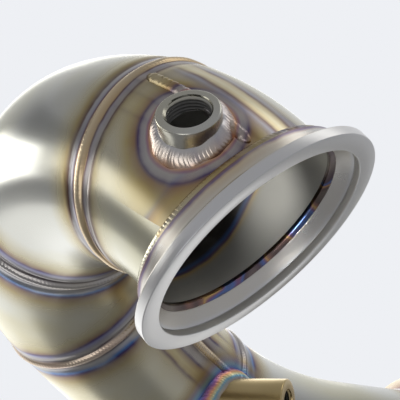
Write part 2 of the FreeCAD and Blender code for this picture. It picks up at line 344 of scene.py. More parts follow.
ringWarm = [(-19, (0.56, 0.50, 0.34), 0.0), (-12, (0.50, 0.44, 0.28), 0.5), (-8.6, (0.38, 0.31, 0.17), 0.9),
            (-6.6, (0.13, 0.08, 0.07), 1.0), (-5.8, (0.34, 0.31, 0.29), 0.95), (-3.9, (0.34, 0.31, 0.33), 0.95),
            (-3.0, (0.12, 0.07, 0.08), 1.0), (-2.2, (0.50, 0.36, 0.20), 1.0), (0, (0.70, 0.56, 0.36), 1.0),
            (2.2, (0.52, 0.35, 0.18), 1.0), (3.0, (0.12, 0.07, 0.10), 1.0), (3.9, (0.32, 0.30, 0.34), 0.95),
            (5.6, (0.36, 0.34, 0.34), 0.95), (6.6, (0.12, 0.07, 0.06), 1.0), (9, (0.36, 0.27, 0.11), 0.95),
            (12.5, (0.48, 0.41, 0.22), 0.7), (20, (0.56, 0.50, 0.34), 0.0)]
ringCool = [(-27, (0.55, 0.50, 0.36), 0.0), (-15, (0.43, 0.36, 0.19), 0.8), (-11, (0.26, 0.17, 0.11), 0.95),
            (-9.4, (0.10, 0.07, 0.16), 1.0), (-8, (0.24, 0.24, 0.38), 0.95), (-6, (0.30, 0.28, 0.30), 0.95),
            (-4.6, (0.38, 0.36, 0.36), 0.9), (-3.1, (0.16, 0.13, 0.14), 1.0), (-1.8, (0.44, 0.41, 0.40), 0.9),
            (1.8, (0.43, 0.40, 0.39), 0.9), (3.1, (0.15, 0.13, 0.14), 1.0), (4.6, (0.38, 0.37, 0.38), 0.9),
            (6.2, (0.26, 0.28, 0.34), 0.95), (7.8, (0.10, 0.20, 0.42), 1.0), (9.4, (0.07, 0.05, 0.14), 1.0),
            (11.5, (0.24, 0.15, 0.10), 0.95), (16, (0.40, 0.31, 0.15), 0.9), (21, (0.48, 0.41, 0.24), 0.6),
            (29, (0.54, 0.48, 0.34), 0.0)]
ringTan = [(place, (0.60, 0.46, 0.36) if abs(place) < 2 else colour, cover)
           for place, colour, cover in ringCool]
neckTint = [(0, (0.46, 0.40, 0.30), 0.5), (4, (0.62, 0.44, 0.20), 0.8), (7, (0.60, 0.36, 0.12), 0.9),
            (9.5, (0.28, 0.14, 0.14), 0.9), (11, (0.16, 0.18, 0.34), 0.9), (13, (0.50, 0.46, 0.34), 0.6),
            (17, (0.62, 0.54, 0.36), 0.5), (24, (0.56, 0.50, 0.38), 0.0)]
bossTint = [(0, (0.42, 0.40, 0.38), 0.7), (12.5, (0.62, 0.60, 0.60), 0.9), (15.0, (0.72, 0.60, 0.52), 0.9),
            (16.0, (0.60, 0.32, 0.18), 0.95), (16.9, (0.34, 0.18, 0.24), 0.9), (17.8, (0.40, 0.37, 0.36), 0.9),
            (19.2, (0.32, 0.29, 0.31), 0.9), (20.4, (0.10, 0.07, 0.14), 1.0), (21.8, (0.30, 0.19, 0.10), 0.95),
            (25, (0.44, 0.34, 0.14), 0.9), (29, (0.52, 0.44, 0.24), 0.6), (36, (0.56, 0.50, 0.34), 0.0)]
# a cream stripe along the first bend, with a dark and a blue-grey line beside it, gone by 12 mm
creamStripe = [(0, (0.76, 0.70, 0.50), 0.9), (2.2, (0.68, 0.58, 0.36), 0.9), (4.0, (0.18, 0.12, 0.12), 0.95),
              (5.8, (0.34, 0.34, 0.40), 0.85), (8, (0.30, 0.26, 0.24), 0.7), (12, (0.5, 0.44, 0.3), 0.0)]
rainbow = [(0, (0.45, 0.36, 0.2), 0.9), (15, (0.40, 0.36, 0.34), 0.8), (16.5, (0.16, 0.38, 0.50), 1.0),
           (17.5, (0.62, 0.60, 0.34), 1.0), (18.6, (0.74, 0.36, 0.18), 1.0), (19.6, (0.38, 0.16, 0.36), 1.0),
           (20.6, (0.12, 0.20, 0.46), 1.0), (22.5, (0.20, 0.34, 0.44), 0.9), (25, (0.28, 0.24, 0.28), 0.9),
           (28, (0.36, 0.27, 0.15), 0.8), (34, (0.46, 0.39, 0.24), 0.0)]
seamTint = [(0, (0.82, 0.70, 0.52), 0.95), (2.0, (0.62, 0.46, 0.28), 0.95), (3.4, (0.12, 0.08, 0.07), 1.0),
            (5.5, (0.30, 0.25, 0.23), 0.95), (8, (0.34, 0.30, 0.28), 0.9), (9.6, (0.10, 0.07, 0.13), 1.0),
            (11, (0.34, 0.24, 0.16), 0.95), (14, (0.62, 0.53, 0.30), 0.9), (16.5, (0.56, 0.46, 0.26), 0.9),
            (18, (0.20, 0.14, 0.15), 0.9), (20, (0.50, 0.42, 0.26), 0.7), (27, (0.56, 0.50, 0.36), 0.0)]
flankTint = [(0, (0.62, 0.42, 0.18), 0.95), (20, (0.66, 0.46, 0.20), 0.95), (27, (0.62, 0.48, 0.26), 0.85),
             (34, (0.64, 0.56, 0.40), 0.5), (46, (0.70, 0.68, 0.62), 0.0)]
rimShade = [(0, (0.72, 0.71, 0.69), 0.9), (3.8, (0.72, 0.71, 0.69), 0.9), (5, (0.68, 0.62, 0.52), 0.5),
            (8.6, (0.66, 0.60, 0.50), 0.5), (11, (0.5, 0.3, 0.2), 0.0), (12.4, (0.16, 0.12, 0.24), 0.9),
            (13.6, (0.2, 0.1, 0.1), 0.9)]
# real heat tint past the root weld in the mouth as gold, purple and blue lines, then painted shade: nearly
# black from 7.5 mm on, down the rest of the first tube's bore
rootTintAndShade = [(-1.5, (0.5, 0.48, 0.42), 0.0), (1, (0.50, 0.46, 0.36), 0.6), (3, (0.60, 0.46, 0.22), 1.0),
            (4.2, (0.16, 0.10, 0.20), 1.0), (5.6, (0.10, 0.18, 0.40), 1.0), (7.5, (0.05, 0.045, 0.045), 0.97),
            (14, (0.05, 0.045, 0.035), 0.97), (22, (0.07, 0.06, 0.045), 0.97)]
rootPatches = [(0.3, (0.24, 0.20, 0.17), 1), (0.44, (0.13, 0.09, 0.11), 1), (0.49, (0.12, 0.20, 0.42), 1),
               (0.52, (0.24, 0.13, 0.22), 1), (0.55, (0.58, 0.38, 0.14), 1), (0.58, (0.30, 0.17, 0.14), 1),
               (0.64, (0.15, 0.11, 0.10), 1), (0.75, (0.2, 0.17, 0.14), 1)]  # by the noise instead of mm


def ringTint(station, stops):
    return lambda tree, place: planeDistance(tree, place, station), stops


def bossRing(station, stops):
    return lambda tree, place: axisDistance(tree, place, station), stops


def neckRing(stops):
    # tint behind the flange, which fades away from the front boss
    near, fade = 34.0, 1.6

    def measure(tree, place):
        apart = compute(tree, "SUBTRACT", axisDistance(tree, place, frontFoot), near)
        apart = compute(tree, "MULTIPLY", compute(tree, "MAXIMUM", apart, 0.0), fade)
        return compute(tree, "ADD", planeDistance(tree, place, flangeWeldPlane), apart)

    return measure, stops


def seamBand(number, around, stops):
    return lambda tree, place: seamDistance(tree, place, number, around), stops


def rootSteel():
    # colours of the thin weld in the mouth, which run from gold through purple to blue in patches
    material = tinted("root weld steel", [], base=(0.46, 0.42, 0.36), straw=(0.40, 0.34, 0.26))
    tree = material.node_tree
    surface = tree.nodes["Principled BSDF"]
    place = shade(tree, "ShaderNodeTexCoord").outputs["Object"]
    colours = ramp(tree, noise(tree, place, 42.0, 2.0), rootPatches)
    tree.links.new(colours.outputs["Color"], surface.inputs["Base Color"])
    return material


# sensor bosses: their sizes, and where they stand in degrees: along their bend, round the tube, leaned over

frontBoss = {"radius": 12.0, "height": 7.5, "leg": 4.0, "along": 11.1, "around": 147.5, "lean": (6.4, 9.0),
             "bend": 0, "ripples": 58, "relief": 0.2}
rearBoss = {"radius": 14.5, "height": 33.5, "leg": 5.4, "along": 13.5, "around": 25.0,
            "lean": (22.2, -23.3), "bend": 3, "ripples": 56, "relief": 0.4}
thread = {"bore": 8.2, "pitch": 1.5, "depth": 0.85, "flank": 2.6, "mouth": 0.9, "edge": 0.9, "sink": 0.8,
          "port": 1.2}


def bossStation(boss):
    point, heading, side = bent(starts[boss["bend"]], bends[boss["bend"]][0], boss["along"])
    out = turn(side, heading, boss["around"])
    along, across = (math.tan(math.radians(angle)) for angle in boss["lean"])
    axis = unit(out + heading * along + np.cross(heading, out) * across)
    return (point + out * tube["outer"], axis, unit(heading - axis * (heading @ axis)))


frontFoot = bossStation(frontBoss)
rearFoot = bossStation(rearBoss)
seams = {"front": (0, 161.0), "rear": (3, 6.0), "stripe": (0, 182.0)}  # bend, degrees round the tube
seamSpans = {"front": (2.4, 26.4), "rear": (0.6, 12.9)}  # degrees along the bend; the stripe is a tint alone

# flange and stub, whose places the tints need too

flange = {"rim": 56.7, "rimWidth": 4.4, "neck": 49.1, "neckStart": 7.6, "neckEnd": 13.4, "register": 48.7,
          "registerDepth": 2.9, "groove": 49.3, "grooveEnd": 3.4, "seat": 48.9, "throat": 44.3,
          "throatStart": 8.8, "socket": 10.0, "slip": 0.15, "edge": 0.35, "columns": 320,
          "recess": (1.6, 1.45)}  # middle and half depth of the part that wears the lining
stub = {"face": 6.0, "length": 34.0, "outer": 48.0, "lip": 4.0, "lipOuter": 56.0}  # face: past the tail's end
flangeWeldPlane = moved(mouth, flange["neckEnd"])
flexWeldTint = ringTint(flexStart, ringCool)
faceStation = moved(tailEnd, stub["face"])
stubWeldPlane = moved(faceStation, -stub["length"])

# plane of the blue and gold line seen in the mouth; past it the first tube's bore is painted near-black as
# shade
innerLine = (np.array((41.0, 31.0, -12.6)), unit(np.array((0.1, 0.92, -0.38))), mouth[2])

steel = {
    "tube_1": tinted("tube 1 steel", [neckRing(neckTint), seamBand(*seams["front"], seamTint),
                                      bossRing(frontFoot, bossTint),
                                      seamBand(*seams["stripe"], creamStripe), ringTint(starts[1], ringWarm)],
                     inner=[ringTint(innerLine, rootTintAndShade)]),
    "tube_2": tinted("tube 2 steel", [ringTint(starts[1], ringWarm), ringTint(starts[2], ringCool)]),
    "tube_3": tinted("tube 3 steel", [ringTint(starts[2], ringCool), ringTint(starts[3], ringTan)],
                     base=(0.59, 0.58, 0.50), straw=(0.58, 0.53, 0.35)),
    "tube_4": tinted("tube 4 steel", [ringTint(starts[3], ringTan), seamBand(*seams["rear"], seamTint),
                                      ringTint(starts[4], ringCool), bossRing(rearFoot, rainbow)],
                     base=(0.64, 0.62, 0.51), straw=(0.62, 0.56, 0.36)),
    "tube_5": tinted("tube 5 steel", [ringTint(starts[4], ringCool), bossRing(rearFoot, rainbow),
                                      flexWeldTint]),
    "flange": tinted("flange steel", [bossRing(frontFoot, flankTint), ringTint(mouth, rimShade)],
                     base=(0.70, 0.70, 0.68), straw=(0.66, 0.64, 0.58), roughness=0.26, turned=mouth,
                     lining=(0.78, 0.76, 0.70)),
    "stub": tinted("stub steel", [], base=(0.70, 0.70, 0.68), straw=(0.66, 0.64, 0.58), turned=flexStart),
    "root weld": rootSteel(),
    # the bosses' nearly black lining colours are painted shade inside their threaded holes
    "front boss": tinted("front boss steel", [], base=(0.55, 0.54, 0.48), straw=(0.48, 0.45, 0.34),
                         roughness=0.26, lining=(0.17, 0.165, 0.15)),
    "rear boss": tinted("rear boss steel", [], base=(0.62, 0.48, 0.24), straw=(0.5, 0.38, 0.18),
                        roughness=0.3, lining=(0.12, 0.11, 0.09)),
    "flex": tinted("flex collar steel", [flexWeldTint, ringTint(flexEnd, ringCool)], base=(0.60, 0.60, 0.59),
                   straw=(0.58, 0.57, 0.54)),
    "tail": tinted("tail steel", [ringTint(flexEnd, ringCool), ringTint(stubWeldPlane, ringWarm)]),
    "plain": tinted("plain steel", [], base=(0.60, 0.60, 0.58), straw=(0.57, 0.55, 0.50), roughness=0.32),
}
print("materials made")

# inlet flange

edge, slip = flange["edge"], tube["outer"] + flange["slip"]
outline = [(0, flange["register"], edge), (flange["registerDepth"], flange["register"], 0.15),
           (flange["registerDepth"], flange["groove"]), (flange["grooveEnd"], flange["groove"]),
           (flange["grooveEnd"], flange["seat"], 0.15), (flange["throatStart"], flange["throat"], edge),
           (flange["socket"], flange["throat"]), (flange["socket"], slip), (flange["neckEnd"], slip),
           (flange["neckEnd"], flange["neck"], edge),
           (flange["neckStart"], flange["neck"], 1.5), (flange["rimWidth"], flange["rim"], edge),
           (0, flange["rim"], edge)]
piece = lathe("inlet_flange", mouth, outline, flange["columns"])
corners = np.array([corner.co[:] for corner in piece.data.vertices]) / mm
middle, half = flange["recess"]
recess = np.abs(corners[:, 1] - middle) < half
recess &= np.hypot(corners[:, 0], corners[:, 2]) < flange["groove"] + 0.1
markBore(piece, recess.astype(float))
dress(piece, "inlet_flange", "root", steel["flange"])


# tubes

dips = ((-0.3, 4.6, 1.0), (0.12, 7.2, 1.3))  # height, distance from the joint, spread
drum = {"sides": 64, "reach": 24.0}


def jointDip(distance):
    # lines that the weld's heat draws into the wall beside a round joint: a sunk and a raised bell curve
    return sum(height * math.exp(-((abs(distance) - middle) / width) ** 2) for height, middle, width in dips)


def bored(piece, station, radius):
    # round hole through the wall, cut by a closed drum along the station's heading
    sides = drum["sides"]
    angles = np.arange(sides) * 2 * np.pi / sides
    rims = np.array([hoop(moved(station, way * drum["reach"]), radius, angles) for way in (-1, 1)])
    around = [(k, (k + 1) % sides, (k + 1) % sides + sides, k + sides) for k in range(sides)]
    mesh = bpy.data.meshes.new("drum")
    mesh.from_pydata((rims.reshape(-1, 3) * mm).tolist(), [],
                     around + [tuple(reversed(range(sides))), tuple(range(sides, 2 * sides))])
    tool = linked("drum", mesh)
    cutting = piece.modifiers.new("port", "BOOLEAN")
    cutting.operation, cutting.solver, cutting.object = "DIFFERENCE", "EXACT", tool
    cutMesh = bpy.data.meshes.new_from_object(piece.evaluated_get(bpy.context.evaluated_depsgraph_get()))
    piece.modifiers.clear()
    piece.data = cutMesh
    bpy.data.objects.remove(tool)


def tubePiece(name, stations, lengths, joints, material, body="root", ports=()):
    # lengths are millimetres along the tube, joints the places of round welds in the same measure,
    # ports the stations of holes through the wall
    outside = []
    for station, length in zip(stations, lengths):
        dip = sum(jointDip(length - joint) for joint in joints)
        outside.append((station, tube["outer"] + dip))
    inside = [(station, tube["inner"]) for station in reversed(stations)]
    piece = shell(name, outside + inside, tube["columns"])
    markBore(piece, np.repeat([0.0, 1.0], len(stations) * tube["columns"]))
    for foot in ports:
        bored(piece, foot, thread["bore"] + thread["port"])
    dress(piece, name, body, material)


for number, (radius, angle, roll) in enumerate(bends):
    length = radius * math.radians(angle)
    count = int(length / tube["step"] / (1 if number < 3 else tube["longStep"]))
    stations = bendStations(number, count)
    lengths = [length * k / count for k in range(count + 1)]
    joints = [0, length]
    if number == 0:  # two rings on the straight start, and no bead at the flange
        leads = [tube["start"] - tube["straight"], -1.1]
        stations = [moved(starts[0], lead) for lead in leads] + stations
        lengths = leads + lengths
        joints = [length]
    if number == 4:
        runs = np.arange(tube["runStep"], tube["lastStraight"], tube["runStep"]).tolist()
        runs.append(tube["lastStraight"])
        stations += [moved(runStart, run) for run in runs]
        lengths += [length + run for run in runs]
        joints = [0, length + tube["lastStraight"]]
    ports = [frontFoot] if number == 0 else [rearFoot] if number > 2 else []
    tubePiece(f"tube_{number + 1}", stations, lengths, joints, steel[f"tube_{number + 1}"], ports=ports)
print("tubes made")


# welds: width, height, ripples in a turn and their height, and how deep the mesh goes into the wall

roundBead = {"width": 6.5, "height": 1.3, "ripples": 150, "relief": 0.14, "smooth": 0.05, "rows": 21}
longBead = {"width": 5.4, "height": 2.5, "lowHeight": 1.3, "pitch": 1.9, "relief": 0.42, "columns": 13}
cornerWeld = {"flangeLeg": 3.6, "stubLeg": 2.8, "overlap": 0.4, "convex": 0.22, "relief": 0.2, "rows": 11}
rootWeld = {"start": 9.0, "end": 12.3, "top": (10.5, 42.2, 1.2)}
bury = 1.0


def ripple(turns, count, across):
    # overlapping crescents, each falling with the square of the way through it: turns is the share of the
    # way round, and across runs from -1 to 1
    drift = 0.18 * np.sin(turns * 2 * np.pi * 5) + 0.12 * np.sin(turns * 2 * np.pi * 13 + 1)
    phase = (turns * count + drift - 0.9 * across ** 2) % 1.0
    return 1 - phase ** 2


def ringBead(name, station, material, body="root", relief=roundBead["relief"]):
    # a rounded ridge between two low skirts: a steep parabola over the middle on a flat one over the width
    width, height, ripples, rows = (roundBead[key] for key in ("width", "height", "ripples", "rows"))
    columns = ripples * 8
    turns = np.arange(columns) / columns
    rings = []
    for k in range(rows):
        across = -1 + 2 * k / (rows - 1)
        wander = 1 + 0.05 * np.sin(turns * 2 * np.pi * 9 + 2) + 0.04 * np.sin(turns * 2 * np.pi * 23)
        ridge = max(0.0, 1 - (across / 0.72) ** 2)
        arch = height * (ridge * 0.8 + (1 - across ** 2) * 0.16) * wander
        share = 0.2 * (1 - across ** 4) + 0.8 * min(1.0, ridge * 2)
        waves = relief * share * ripple(turns, ripples, across)
        rings.append((moved(station, across * width / 2), tube["outer"] - 0.12 + arch + waves))
    rings += [(moved(station, side * width / 2), tube["outer"] - bury) for side in (1, -1)]
    dress(shell(name, rings, columns, crease=creases["weld"]), name, body, material)


for number, owner in ((1, "tube_2"), (2, "tube_3"), (3, "tube_4"), (4, "tube_4")):
    relief = roundBead["smooth" if number == 1 else "relief"]
    ringBead(f"tube_joint_weld_{number}", starts[number], steel[owner], relief=relief)
ringBead("flex_inlet_weld", flexStart, steel["tube_5"])
ringBead("flex_outlet_weld", flexEnd, steel["flex"], "tail")


def cornerBead(name, station, leg, material, body):
    # convex weld between a tube and a wall that ends at the station: a straight slope lifted by a half sine
    ripples = roundBead["ripples"]
    columns = ripples * 8
    turns = np.arange(columns) / columns
    first, rows = moved(station, -cornerWeld["overlap"]), cornerWeld["rows"]
    rings = [(first, tube["outer"] - bury), (first, tube["outer"] + leg)]
    for k in range(rows):
        share = k / (rows - 1)
        swell = math.sin(math.pi * share)
        lift = cornerWeld["convex"] * leg * swell
        relief = lift + cornerWeld["relief"] * swell * ripple(turns, ripples, share * 2 - 1)
        distance = leg * share + lift
        rings.append((moved(station, distance), tube["outer"] - 0.1 + leg * (1 - share) + relief))
    rings.append((moved(station, leg), tube["outer"] - bury))
    dress(shell(name, rings, columns, crease=creases["weld"]), name, body, material)


cornerBead("inlet_flange_weld", flangeWeldPlane, cornerWeld["flangeLeg"], steel["tube_1"], "root")
cornerBead("outlet_stub_weld", backward(stubWeldPlane), cornerWeld["stubLeg"], steel["tail"], "tail")
rootOutline = [(rootWeld["start"], flange["throat"]), (tube["start"], flange["throat"]),
               (tube["start"], tube["inner"]), (rootWeld["end"], tube["inner"]), rootWeld["top"]]
dress(lathe("inlet_root_weld", mouth, rootOutline, flange["columns"]), "inlet_root_weld", "root",
      steel["root weld"])


def seamBead(name, number, around, first, last, material, height=longBead["height"]):
    # weld along a bend, from one angle to another: a parabola across, narrowed to round ends by a root
    width, pitch, columns = (longBead[key] for key in ("width", "pitch", "columns"))
    radius = bends[number][0]
    length = radius * math.radians(last - first)
    count = int(length / pitch * 8)
    rows = []
    for k in range(count + 1):
        share = k / count
        point, heading, side = bent(starts[number], radius, first + (last - first) * share)
        end = min(1.0, math.sqrt(max(0.0, min(share, 1 - share)) * length / (width / 2)))
        half = math.degrees(width / 2 / tube["outer"]) * max(end, 0.02)
        across = np.linspace(-1, 1, columns)
        waves = ripple(np.full(columns, share), length / pitch, across)
        relief = longBead["relief"] * (1 - across ** 4) * waves
        lift = (height * (1 - across ** 2) * 0.86 + relief) * end
        crown = [point + turn(side, heading, around + half * a) * (tube["outer"] - 0.1 + h)
                 for a, h in zip(across, lift)]
        foot = [point + turn(side, heading, around + half * a) * (tube["outer"] - 0.9) for a in (1, -1)]
        rows.append(crown + foot)
    points = np.array(rows)
    tips = [np.repeat([points[k].mean(axis=0)], columns + 2, axis=0) for k in (0, -1)]
    points = np.concatenate(([tips[0]], points, [tips[1]]))
    dress(grid(name, points, loopRows=False, crease=creases["weld"]), name, "root", material)


seamBead("seam_weld_front", *seams["front"], *seamSpans["front"], steel["tube_1"])
seamBead("seam_weld_rear", *seams["rear"], *seamSpans["rear"], steel["tube_4"], longBead["lowHeight"])


# sensor bosses, their threads and saddle welds

def standOff(points, number):
    # distance of points from the outside of a tube, which changes bend at the next joint
    def off(k):
        point, heading, side = starts[k]
        axis = np.cross(heading, side)
        away = points - (point + side * bends[k][0])
        level = away @ axis
        ring = np.linalg.norm(away - level[..., None] * axis, axis=-1)
        return np.hypot(ring - bends[k][0], level) - tube["outer"]

    past = (points - starts[number + 1][0]) @ starts[number + 1][1] > 0
    return np.where(past, off(number + 1), off(number))


def spokes(foot, count):
    # unit vectors square to the axis, evenly round it
    axis, side = foot[1:]
    angles = np.arange(count)[:, None] * 2 * np.pi / count
    return np.cos(angles) * side + np.sin(angles) * np.cross(axis, side)


def ground(boss, foot, ways, radius):
    # height along the axis at which the tube's surface lies, that far from the axis, by halving
    low, high = np.full(len(ways), -40.0), np.full(len(ways), 12.0)
    for k in range(40):
        middle = (low + high) / 2
        points = foot[0] + ways * radius + middle[:, None] * foot[1]
        inside = standOff(points, boss["bend"]) < 0
        low, high = np.where(inside, middle, low), np.where(inside, high, middle)
    return (low + high) / 2


def bossPiece(name, boss, foot, material):
    # rings round the axis: up the wall from the tube, over the rounded mouth and down the threaded bore
    radius, height, mouthEdge = boss["radius"], boss["height"], thread["mouth"]
    columns = 144
    ways = spokes(foot, columns)
    turns = np.arange(columns) / columns
    rows = []

    def row(size, level):
        size = np.broadcast_to(size, turns.shape)[:, None]
        level = np.broadcast_to(level, turns.shape)[:, None]
        rows.append(foot[0] + ways * size + level * foot[1])

    foundation = ground(boss, foot, ways, radius) - thread["sink"]
    corner = rounded([(0, radius), (height, radius, thread["edge"]),
                      (height, thread["bore"] + mouthEdge, 0.15), (height - mouthEdge, thread["bore"])])[1:-1]
    for share in np.linspace(0, 1, 6)[:-1]:
        row(radius, foundation + (corner[0][0] - foundation) * share)
    for level, size in corner:
        row(size, level)
    bottom = ground(boss, foot, ways, thread["bore"]) - thread["sink"]
    top = height - mouthEdge
    steps = int((top - bottom.min()) / thread["pitch"] * 10)
    for k in range(steps + 1):
        # the groove between threads climbs one pitch in each turn
        level = top + (bottom - top) * k / steps
        phase = (level / thread["pitch"] - turns) % 1.0
        groove = np.clip(1 - np.abs(phase - 0.5) * thread["flank"], 0, 1) * thread["depth"]
        row(thread["bore"] + groove, level)
    piece = grid(name, np.array(rows))
    # painted shade: the boss's dark lining colour comes in over the first dozen rows down the thread and stays
    # to the bottom of the hole
    depth = np.clip(np.arange(len(rows)) - len(rows) + steps, 0, 12) / 12  # darker within a dozen rows
    markBore(piece, np.repeat(depth, columns))
    dress(piece, name, "root", material)


def bossWeld(name, boss, foot, material):
    # fillet that follows the boss's foot over the round of the tube: halfway between a straight slope and a
    # quarter round, with crescent ripples
    columns = boss["ripples"] * 10
    ways = spokes(foot, columns)
    turns = np.arange(columns) / columns
    leg = boss["leg"]
    rows = []
    for share in np.linspace(0, 1, 13):
        quarter = share * math.pi / 2
        out = leg * (0.6 * share + 0.4 * math.sin(quarter))
        rise = leg * (0.6 * (1 - share) + 0.4 * math.cos(quarter))
        wander = 1 + 0.07 * np.sin(turns * 2 * np.pi * 4 + 1) + 0.05 * np.sin(turns * 2 * np.pi * 11)
        relief = boss["relief"] * math.sin(math.pi * share) * ripple(turns, boss["ripples"], share * 2 - 1)
        radius = (boss["radius"] - 0.1 + out * wander)[:, None]
        level = ground(boss, foot, ways, radius) + rise * wander
        outward = relief * 0.7
        rows.append(foot[0] + ways * (radius + outward[:, None]) + (level + outward)[:, None] * foot[1])
    for radius in (boss["radius"] + leg, boss["radius"] - 0.6):
        base = ground(boss, foot, ways, radius) - thread["sink"]
        rows.append(foot[0] + ways * radius + base[:, None] * foot[1])
    dress(grid(name, np.array(rows), crease=creases["weld"]), name, "root", material)


bossPiece("sensor_bung_front", frontBoss, frontFoot, steel["front boss"])
bossPiece("sensor_bung_rear", rearBoss, rearFoot, steel["rear boss"])
bossWeld("bung_weld_front", frontBoss, frontFoot, steel["tube_1"])
bossWeld("bung_weld_rear", rearBoss, rearFoot, steel["tube_4"])
print("welds and bosses made")

# flexible joint

# sizes in mm, then the bellows' waves and how square they are, and the braid's strands and their slant
flex = {"cup": 57.0, "wall": 1.6, "cupLength": 34.0, "coneStart": 8.0, "cone": 9.0, "innerCone": 2.3,
        "spigot": 24.0, "cuff": 15.0, "liner": (5.0, 94.0), "linerWall": 1.0, "bellows": 27.0,
        "bellowsWall": 0.8, "root": 46.2, "crest": 52.4, "waves": 8, "press": 1.6, "braidStart": 20.0,
        "braidWall": 1.4, "braidRise": 10.0, "bulge": 1.6, "strands": 32, "slant": 1.1, "strand": 0.7}
outer, inner = tube["outer"], tube["inner"]
cupOutline = [(0, inner), (0, outer), (flex["coneStart"], outer, 2.0),
              (flex["coneStart"] + flex["cone"], flex["cup"], 3.0), (flex["cupLength"], flex["cup"], 0.4),
              (flex["cupLength"], flex["cup"] - flex["wall"], 0.3),
              (flex["coneStart"] + flex["cone"] + 1, flex["cup"] - flex["wall"], 1.4),
              (flex["coneStart"] + flex["innerCone"], outer), (flex["spigot"], outer),
              (flex["spigot"], inner)]
dress(lathe("flex_inlet_collar", flexStart, cupOutline), "flex_inlet_collar", "root",
      steel["flex"])
dress(lathe("flex_outlet_collar", backward(flexEnd), cupOutline), "flex_outlet_collar", "tail",
      steel["flex"])
start, end = flex["liner"]
sleeve = inner - flex["linerWall"]
linerOutline = [(start, inner), (end, inner, 0.3), (end, sleeve, 0.3), (start, sleeve)]
dress(lathe("flex_liner", flexStart, linerOutline), "flex_liner", "root", steel["plain"])

bellowsRows = [(flex["cuff"], outer), (flex["spigot"], outer)]
span = tube["flexLength"] - 2 * flex["bellows"]
samples = flex["waves"] * 14
for k in range(samples + 1):
    # a rounded square wave: the sine is pressed towards its crest and its root
    wave = math.tanh(-flex["press"] * math.cos(2 * math.pi * flex["waves"] * k / samples))
    wave /= math.tanh(flex["press"])
    height = (flex["crest"] + flex["root"]) / 2 + (flex["crest"] - flex["root"]) / 2 * wave
    bellowsRows.append((flex["bellows"] + span * k / samples, height - flex["bellowsWall"]))
bellowsRows += [(tube["flexLength"] - flex["spigot"], outer), (tube["flexLength"] - flex["cuff"], outer)]
rings = [(moved(flexStart, d), r + flex["bellowsWall"]) for d, r in bellowsRows]
rings += [(moved(flexStart, d), r) for d, r in reversed(bellowsRows)]
bellows = shell("flex_bellows", rings, 120)


def braidPiece():
    # woven sleeve: two sets of strands cross at an angle, each going over and under in turn
    columns, rows = 512, 170
    turns = np.arange(columns) / columns
    rings = []
    first, last = flex["braidStart"], tube["flexLength"] - flex["braidStart"]
    under = flex["cup"] - flex["wall"]
    for k in range(rows + 1):
        distance = first + (last - first) * k / rows
        inward = min(distance, tube["flexLength"] - distance)
        ease = min(1.0, max(0.0, (inward - flex["cupLength"] - 1) / (flex["braidRise"] - 1)))
        swell = flex["bulge"] * ease * ease * (3 - 2 * ease)
        lean = distance / (2 * np.pi * flex["cup"]) * flex["strands"] * flex["slant"]
        one, two = turns * flex["strands"] + lean, turns * flex["strands"] - lean
        over = np.sin(np.pi * (one + two)) * np.sin(np.pi * (one - two))
        width = [1 - np.abs((way % 1.0) * 2 - 1) ** 4 for way in (one, two)]
        above = np.maximum(width[0] * (0.5 + 0.5 * over), width[1] * (0.5 - 0.5 * over))
        relief = flex["strand"] * above * (0.15 + 0.85 * ease)  # pressed flat under the cups
        rings.append((moved(flexStart, distance), under - 0.8 + swell + relief))
    rings += [(moved(flexStart, place), under - flex["braidWall"]) for place in (last, first)]
    return shell("flex_braid", rings, columns, crease=creases["weld"])


def braidMaterial():
    # fine grain of wires over each strand
    material, tree, surface = newMaterial("wire braid")
    place = shade(tree, "ShaderNodeTexCoord").outputs["Object"]
    grain = noise(tree, place, 420.0, 3.0)
    tree.links.new(mixed(tree, grain, (0.42, 0.42, 0.41), (0.74, 0.73, 0.70)), surface.inputs["Base Color"])
    surface.inputs["Metallic"].default_value = 1.0
    surface.inputs["Roughness"].default_value = 0.34
    bumped(tree, surface, grain, 0.5, 0.0004)
    return material


braid = braidPiece()
for piece, node, slot, material in ((bellows, "flex_bellows", "tube_stainless", steel["plain"]),
                                    (braid, "flex_braid", "wire_braid", braidMaterial())):
    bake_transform(piece)
    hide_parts(node)
    piece.data.materials.append(material)

# tail

tailLengths = np.linspace(0, tube["tailLength"], 60)
tubePiece("tail_tube", [moved(flexEnd, d) for d in tailLengths], tailLengths, [0], steel["tail"], "tail")
stubOutline = [(-stub["length"], slip), (-stub["length"], stub["outer"], 0.4),
               (-stub["lip"], stub["outer"], 0.6), (-stub["lip"], stub["lipOuter"], 0.4),
               (0, stub["lipOuter"], 0.6), (0, slip, 0.4)]
dress(lathe("outlet_stub", faceStation, stubOutline), "outlet_stub", "tail",
      steel["stub"])
hanger = {"radius": 6.0, "gap": 0.3, "start": 20.0, "run": 32.0, "bend": 14.0, "reach": 42.0, "head": 8.5,
          "headLength": 4.0}
out = turn(flexEnd[2], flexEnd[1], 90.0)
rodAxis = outer + hanger["gap"] + hanger["radius"]
rodStart = moved((flexEnd[0] + out * rodAxis, flexEnd[1], out), hanger["start"])
rodBend = moved(rodStart, hanger["run"])
stations = [rodStart] + [bent(rodBend, hanger["bend"], 90 * k / 16) for k in range(17)]
rodReach = stations[-1]
size = hanger["radius"]
rings = [(rodStart, 0.01), (rodStart, size - 0.6), (moved(rodStart, 0.6), size)]
rings += [(station, size) for station in stations[1:]]
reach, head = hanger["reach"], hanger["head"]
neck = reach - hanger["headLength"]
rodEnd = rounded([(0, size), (neck, size), (neck, head, 0.5), (reach, head, 0.9), (reach, 0.01)])[1:]
rings += [(moved(rodReach, d), r) for d, r in rodEnd]
dress(shell("hanger_rod", rings, 64, loopRows=False), "hanger_rod", "tail", steel["plain"])
for name, material in (("outlet_flange", steel["stub"]), ("hanger_weld", steel["plain"])):
    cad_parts[name].data.materials.clear()
    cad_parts[name].data.materials.append(material)
print("flex and tail made")

# camera, at the place found from the photograph

